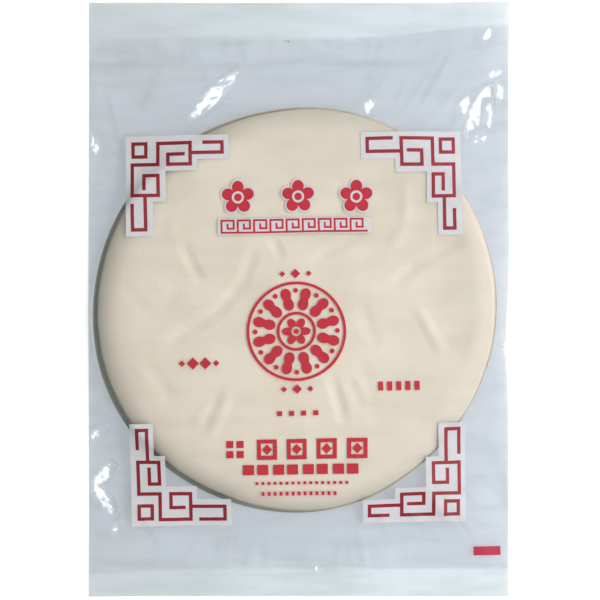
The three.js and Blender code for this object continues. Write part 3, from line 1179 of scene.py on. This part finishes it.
print("fret:", triangles(fret), "triangles; its backing:", triangles(fret_backing))

# %% Turned copies for the four corners
CORNER_REACH = (76.5, 90.3)
CORNERS_CLOCKWISE = ((-1, 1), (1, 1), (1, -1), (-1, -1))


def turned_copies(master):
    """Four copies of a corner piece, each turned a quarter clockwise from the last."""
    copies = []
    for quarter, (across, along) in enumerate(CORNERS_CLOCKWISE):
        copy = bpy.data.objects.new(master.name + "_copy", master.data.copy())
        bpy.context.scene.collection.objects.link(copy)
        points = points_of(copy)
        turn = -quarter * math.pi / 2
        x = points[:, 0] * math.cos(turn) - points[:, 1] * math.sin(turn)
        y = points[:, 0] * math.sin(turn) + points[:, 1] * math.cos(turn)
        points[:, 0] = x + across * CORNER_REACH[0]
        points[:, 1] = y + along * CORNER_REACH[1]
        set_points(copy, points)
        copies.append(copy)
    bpy.data.objects.remove(master)
    return copies


def joined(name, parts):
    only(parts[0])
    for part in parts:
        part.select_set(True)
    bpy.ops.object.join()
    parts[0].name = name
    return parts[0]


corner_frets = joined("corner_frets", turned_copies(fret))
white_parts = turned_copies(fret_backing)
print("corner frets:", triangles(corner_frets), "triangles")

# %% [markdown]
# ### Round motifs
# Blossoms, rings, petals, dots and lozenges are bands between an inner and an outer outline, both
# given by how far out they lie at each bearing. A circle is extruded outwards ring by ring in edit
# mode, and its points are then put between the two outlines.

# %% Bands
RING_PITCH = 1.6
MERGE = 0.005


def band(centre, inner, outer, steps=96, turn=0.0):
    """A flat band round a centre; inner and outer are numbers or functions of the bearing."""
    bearings = np.arange(steps) * 2 * math.pi / steps
    inside = inner(bearings) if callable(inner) else np.full(steps, float(inner))
    outside = outer(bearings) if callable(outer) else np.full(steps, float(outer))
    rings = max(1, math.ceil(float((outside - inside).max()) / RING_PITCH))
    bpy.ops.object.select_all(action="DESELECT")
    bpy.ops.mesh.primitive_circle_add(vertices=steps, radius=1 * MM, fill_type="NOTHING")
    made = bpy.context.object
    bpy.ops.object.mode_set(mode="EDIT")
    bpy.ops.mesh.select_all(action="SELECT")
    for _ in range(rings):
        bpy.ops.mesh.extrude_edges_move()
    bpy.ops.object.mode_set(mode="OBJECT")
    points = np.zeros((steps * (rings + 1), 3))
    for ring in range(rings + 1):
        reach = inside + (outside - inside) * ring / rings
        row = slice(ring * steps, (ring + 1) * steps)
        points[row, 0] = centre[0] + reach * np.cos(bearings + turn)
        points[row, 1] = centre[1] + reach * np.sin(bearings + turn)
    set_points(made, points)
    bpy.ops.object.mode_set(mode="EDIT")
    bpy.ops.mesh.select_all(action="SELECT")
    bpy.ops.mesh.remove_doubles(threshold=MERGE * MM)
    bpy.ops.mesh.normals_make_consistent(inside=False)
    bpy.ops.object.mode_set(mode="OBJECT")
    return made


def petals(count, low, high, point=1.0):
    """An outline with that many petals; point above 1 makes them narrower."""
    return lambda bearing: low + (high - low) * np.abs(np.cos(count * bearing / 2)) ** point


print("bands ready")

# %% The plum blossoms and the running key under them
BLOSSOM_CENTRES = ((-27.8, 65.9), (2.1, 65.9), (31.0, 65.4))
# how many petals, how far out they start and end, how narrow they are
BLOSSOM = (5, 4.4, 8.2, 0.7)
BLOSSOM_BACKING = (5, 5.4, 9.0, 0.6)
BLOSSOM_EYE = 3.0
BLOSSOM_PISTIL = 1.9
FINE_STEPS = 120
PISTIL_STEPS = 24
UPRIGHT = math.pi / 2

red_parts = []
for centre in BLOSSOM_CENTRES:
    red_parts.append(band(centre, BLOSSOM_EYE, petals(*BLOSSOM), FINE_STEPS, UPRIGHT))
    red_parts.append(band(centre, 0, BLOSSOM_PISTIL, PISTIL_STEPS))
    white_parts.append(band(centre, 0, petals(*BLOSSOM_BACKING), FINE_STEPS, UPRIGHT))

KEY_UNIT = 8.0
KEY_COUNT = 9
KEY_LINE = 1.0
KEY_FOOT = 48.5
KEY_TURNS = ((0, 0), (0, 6), (6, 6), (6, 2), (3, 2), (3, 4))
KEY_BACKING_LINE = 4.0
KEY_BACKING_ROWS = (1, 3, 5)

key_length = KEY_UNIT * KEY_COUNT
key_strokes = []
for x in np.arange(KEY_COUNT) * KEY_UNIT - key_length / 2:
    key_strokes.append([(x + across, KEY_FOOT + up) for across, up in KEY_TURNS])
    key_strokes.append([(x, KEY_FOOT), (x + KEY_UNIT, KEY_FOOT)])
red_parts.append(cut_strokes(key_strokes, KEY_LINE))
rows = [[(side * key_length / 2, KEY_FOOT + up) for side in (-1, 1)] for up in KEY_BACKING_ROWS]
white_parts.append(cut_strokes(rows, KEY_BACKING_LINE))
print("blossoms and key:", sum(triangles(part) for part in red_parts), "triangles of red")

# %% The rosette
ROSETTE = (0.2, -1.0)
OUTER_RING = (23.2, 24.6)
INNER_RING = (8.2, 9.6)
RING_STEPS = 144
LEAVES = 12
LEAF_REACH = 16.2
LEAF = (2, 1.9, 5.6, 2.2)
LEAF_STEPS = 48
DOT_REACH = 20.2
DOT_SIZE = 1.2
DOT_STEPS = 20
HEART = (6, 3.4, 7.0, 0.8)
HEART_EYE = 2.4
HEART_PISTIL = 1.3


def out_from(centre, reach, bearing):
    return (centre[0] + reach * math.cos(bearing), centre[1] + reach * math.sin(bearing))


red_parts.append(band(ROSETTE, *OUTER_RING, RING_STEPS))
for place in range(LEAVES):
    bearing = 2 * math.pi * place / LEAVES
    between = bearing + math.pi / LEAVES
    middle = out_from(ROSETTE, LEAF_REACH, between)
    red_parts.append(band(middle, 0, petals(*LEAF), LEAF_STEPS, between))
    red_parts.append(band(out_from(ROSETTE, DOT_REACH, bearing), 0, DOT_SIZE, DOT_STEPS))
red_parts.append(band(ROSETTE, *INNER_RING))
red_parts.append(band(ROSETTE, HEART_EYE, petals(*HEART)))
red_parts.append(band(ROSETTE, 0, HEART_PISTIL, DOT_STEPS))
print("bands so far:", len(red_parts))

# %% Lozenges and rows of blocks
HAIR = 0.01
# the row's place, then each lozenge's place along it and its size
LOZENGE_ROWS = (
    ((0.2, -29.6), ((-6.5, 1.5), (0.0, 2.4), (6.5, 1.5))),
    ((0.2, 27.6), ((-6.5, 1.5), (0.0, 2.4), (6.5, 1.5))),
    ((-46.8, -16.1), ((-10.0, 1.6), (-4.6, 3.0), (1.6, 3.0), (7.0, 1.6))),
)
# the row's middle, how many, how far apart, size of one
BLOCK_ROWS = (
    ((50.5, -28.9), 5, 4.5, (2.5, 4.5)),
    ((0.0, -41.8), 4, 6.0, (2.5, 2.5)),
    ((-31.5, -57.0), 2, 5.0, (3.5, 3.5)),
    ((-31.5, -62.0), 2, 5.0, (3.5, 3.5)),
    ((1.0, -70.0), 8, 7.5, (5.5, 5.0)),
    ((1.5, -76.5), 16, 3.0, (1.5, 2.0)),
    ((0.0, -81.5), 13, 3.0, (1.5, 2.0)),
)
BOX_CENTRES = ((-15.5, -59.5), (-0.5, -59.5), (14.5, -59.5), (29.5, -59.5))
BOX_HALF = 4.0
BOX_LINE = 1.5
BOX_LOZENGE = 2.6


def lozenge(centre, size):
    return band(centre, 0, size, 4, UPRIGHT)


def on_lattice(place):
    """The middle of the lattice cell that begins nearest to a place."""
    return round(place / CELL) * CELL + CELL / 2


def blocks(centre, count, pitch, size):
    """A row of plain rectangles."""
    strokes = []
    half = (size[0] - CELL) / 2
    reach = (size[1] - CELL) / 2
    y = on_lattice(centre[1])
    for place in range(count):
        x = on_lattice(centre[0] + (place - (count - 1) / 2) * pitch)
        for step in np.arange(-reach, reach + HAIR, CELL):
            strokes.append([(x - half, y + step), (x + half, y + step)])
    return cut_strokes(strokes, CELL)


for (x, y), row in LOZENGE_ROWS:
    red_parts += [lozenge((x + along, y), size) for along, size in row]
red_parts += [blocks(*row) for row in BLOCK_ROWS]
for x, y in BOX_CENTRES:
    left, right, low, high = x - BOX_HALF, x + BOX_HALF, y - BOX_HALF, y + BOX_HALF
    box = [(left, low), (left, high), (right, high), (right, low), (left, low)]
    red_parts.append(cut_strokes([box], BOX_LINE))
    red_parts.append(lozenge((x, y), BOX_LOZENGE))
red_print = joined("red_print", red_parts)
white_print = joined("white_print", white_parts)
print("red:", triangles(red_print), "white:", triangles(white_print), "triangles")

# %% [markdown]
# The register bar in the corner is printed alone: it tells the machine where one bag ends. The two
# specks by the upper weld aren't print. They are dust under the film, drawn as two grey dots.

# %% The register bar and the specks
BAR_CENTRE = (93.5, -112.5)
BAR_SIZE = (13.5, 4.0)
# place and size
SPECKS = (((-1.3, 143.9), 0.35), ((-3.1, 144.3), 0.3))
SPECK_STEPS = 12

mark = blocks(BAR_CENTRE, 1, 1, BAR_SIZE)
mark.name = "corner_mark"
fleck = joined("fleck", [band(place, 0, size, SPECK_STEPS) for place, size in SPECKS])
print("bar:", triangles(mark), "specks:", triangles(fleck), "triangles")

# %% [markdown]
# ### Laying the print on the film
# Film is stretched a little as it is printed and filled, so the whole print sits slightly turned
# and wanders by a few tenths of a millimetre. The wander is plain noise, read at two heights for the
# two directions: noise_vector would be simpler, but it changes from run to run. Then a Shrinkwrap
# modifier drops each layer straight down on the film, and the layer is set a hair lower: the white
# lies under the red, as it was printed.

# %% Laying the print
PRINT_CENTRE = np.array([-1.35, -14.8])
PRINT_TURN = math.radians(0.9)
DRIFT = 0.35
DRIFT_SIZE = 33.0
DRIFT_APART = 100.0
RED_DEPTH = 0.05
WHITE_DEPTH = 0.09
ABOVE = 40.0


def lay_on_film(layer, depth):
    points = points_of(layer)
    x = points[:, 0] * math.cos(PRINT_TURN) - points[:, 1] * math.sin(PRINT_TURN)
    y = points[:, 0] * math.sin(PRINT_TURN) + points[:, 1] * math.cos(PRINT_TURN)
    for axis, flat, level in ((0, x, 0.0), (1, y, DRIFT_APART)):
        drift = [noise.noise(Vector((a, b, level)) / DRIFT_SIZE) for a, b in zip(x, y)]
        points[:, axis] = flat + PRINT_CENTRE[axis] + DRIFT * np.array(drift)
    points[:, 2] = ABOVE
    set_points(layer, points)
    drop = layer.modifiers.new("drop", "SHRINKWRAP")
    drop.target = film
    drop.wrap_method = "PROJECT"
    drop.use_project_z = True
    drop.use_negative_direction = True
    drop.use_positive_direction = False
    apply_modifiers(layer)
    points = points_of(layer)
    points[:, 2] -= depth
    set_points(layer, points)
    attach(layer, "root")
    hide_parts("sealed_bag")
    say(layer)


for layer in (corner_frets, red_print, mark, fleck):
    lay_on_film(layer, RED_DEPTH)
lay_on_film(white_print, WHITE_DEPTH)

# %% [markdown]
# ### Printing inks
# Film is printed by gravure with thin resin inks. Red covers well, and is deepest in the frets, whose
# cells are etched deep. White is milky and lets a little of what lies behind it through, which is
# why it looks greyer over the bare film than over the dough. Neither shines, because the film above
# them does. White is shaded as if it lay level, because milky ink scatters the light evenly and
# shows none of the film's slopes.

# %% Ink materials
RED = "#c90c28"
FRET_RED = "#9a0a22"
BAR_RED = "#c42444"
WHITE = "#e8e1de"
WHITE_COVER = 0.9
DUST = "#4c5054"
INK_GRAIN = 2.2


def ink(name, tone, cover=1.0, level=False):
    made, tree = new_material(name)
    place = add(tree, "TexCoord").outputs["Object"]
    spread = add(tree, "TexNoise", {"Vector": place, "Scale": per_metre(INK_GRAIN), "Detail": 3.0})
    depth = add(tree, "MapRange", {"Value": spread.outputs["Fac"], "To Min": 0.92, "To Max": 1.06})
    tint = add(tree, "VectorMath", {0: colour(tone)[:3], "Scale": depth.outputs[0]},
               operation="SCALE")
    body = add(tree, "BsdfPrincipled", {"Base Color": tint.outputs[0], "Roughness": 0.55,
                                        "Specular IOR Level": 0.1, "Alpha": cover})
    if level:
        upright = add(tree, "CombineXYZ", {"Z": 1.0})
        tree.links.new(upright.outputs[0], body.inputs["Normal"])
    finish_with(tree, body)
    return made


for layer, material, slot in (
    (corner_frets, ink("red gravure ink, printed deep", FRET_RED), "red_ink"),
    (red_print, ink("red gravure ink, solid", RED), "red_ink"),
    (mark, ink("red gravure ink, register bar", BAR_RED), "red_ink"),
    (fleck, ink("grey dust under the film", DUST), "clear_film"),
    (white_print, ink("white gravure ink, thin", WHITE, WHITE_COVER, level=True), "white_ink"),
):
    layer.data.materials.append(material)
    only(layer)
    bpy.ops.object.shade_smooth()
print("inks laid")

# %% [markdown]
# ## Light and floor
# A scanner's light comes from close above the pack, so what lies level looks bright and what is
# tilted goes dark, and its white lid throws soft light back through the film. Lamps could do it, but
# a white room is softer: its roof is bright, its walls are dim, and a broad glow comes from the
# right. The floor is white card that glows a little, as the lid does.

# %% Floor
FLOOR_SIZE = 12.0
FLOOR_DROP = 0.2
FLOOR_TONE = "#b4b4b4"
LID_GLOW = 0.6

bpy.ops.object.select_all(action="DESELECT")
bpy.ops.mesh.primitive_plane_add(size=FLOOR_SIZE, location=(0, 0, -FLOOR_DROP * MM))
floor = bpy.context.object
floor.name = "floor"
white_floor, floor_tree = new_material("white card")
finish_with(floor_tree, add(floor_tree, "BsdfPrincipled", {
    "Base Color": colour(FLOOR_TONE), "Roughness": 0.9, "Specular IOR Level": 0.0,
    "Emission Color": (1, 1, 1, 1), "Emission Strength": LID_GLOW,
}))
floor.data.materials.append(white_floor)
print("floor:", FLOOR_SIZE, "m wide")

# %% The white room
ROOM_LOW = 0.2
ROOM_HIGH = 0.75
# a pale strip just over the horizon, which only views from the side see
HORIZON_PALE = 0.8
HORIZON_FROM = 0.03
HORIZON_TO = 0.12
GLOW = 2.4
GLOW_FROM = 0.35
GLOW_BEARING = math.radians(6)
GLOW_HEIGHT = math.radians(35)

world = bpy.data.worlds.new("white room")
bpy.context.scene.world = world
world.use_nodes = True
world.node_tree.nodes.clear()
sky = world.node_tree
way = add(sky, "TexCoord").outputs["Generated"]
rise = add(sky, "SeparateXYZ", {0: way}).outputs["Z"]
roof_glow = add(sky, "MapRange", {"Value": rise, "To Min": ROOM_LOW, "To Max": ROOM_HIGH},
                interpolation_type="SMOOTHSTEP")
horizon = add(sky, "MapRange", {"Value": rise, "From Min": HORIZON_FROM, "From Max": HORIZON_TO,
                                "To Min": HORIZON_PALE, "To Max": 0.0})
glow_way = (math.cos(GLOW_BEARING) * math.cos(GLOW_HEIGHT),
            math.sin(GLOW_BEARING) * math.cos(GLOW_HEIGHT), math.sin(GLOW_HEIGHT))
toward = add(sky, "VectorMath", {0: way, 1: glow_way}, operation="DOT_PRODUCT")
side_glow = add(sky, "MapRange", {"Value": toward.outputs["Value"], "From Min": GLOW_FROM,
                                  "To Max": GLOW}, interpolation_type="SMOOTHSTEP")
upper = add(sky, "Math", {0: roof_glow.outputs[0], 1: side_glow.outputs[0]}, operation="ADD")
shade = add(sky, "Math", {0: upper.outputs[0], 1: horizon.outputs[0]}, operation="ADD")
room = add(sky, "Background", {"Color": (1, 1, 1, 1), "Strength": shade.outputs[0]})
add(sky, "OutputWorld", {"Surface": room.outputs[0]})
bpy.context.scene.view_settings.view_transform = "Standard"
print("room nodes:", len(sky.nodes))

# %% [markdown]
# One small bright panel stands high on the right, just where the splinters were tilted to mirror it.
# It gives the flashes and hardly any other light.

# %% The panel
PANEL_SIZE = 0.1
PANEL_WATTS = 1.2

bpy.ops.object.light_add(type="AREA", location=lamp * MM)
panel = bpy.context.object
panel.name = "panel"
panel.rotation_euler = lamp.to_track_quat("Z", "Y").to_euler()
panel.data.size = PANEL_SIZE
panel.data.energy = PANEL_WATTS
print("panel stands at", [round(side) for side in lamp], "mm")
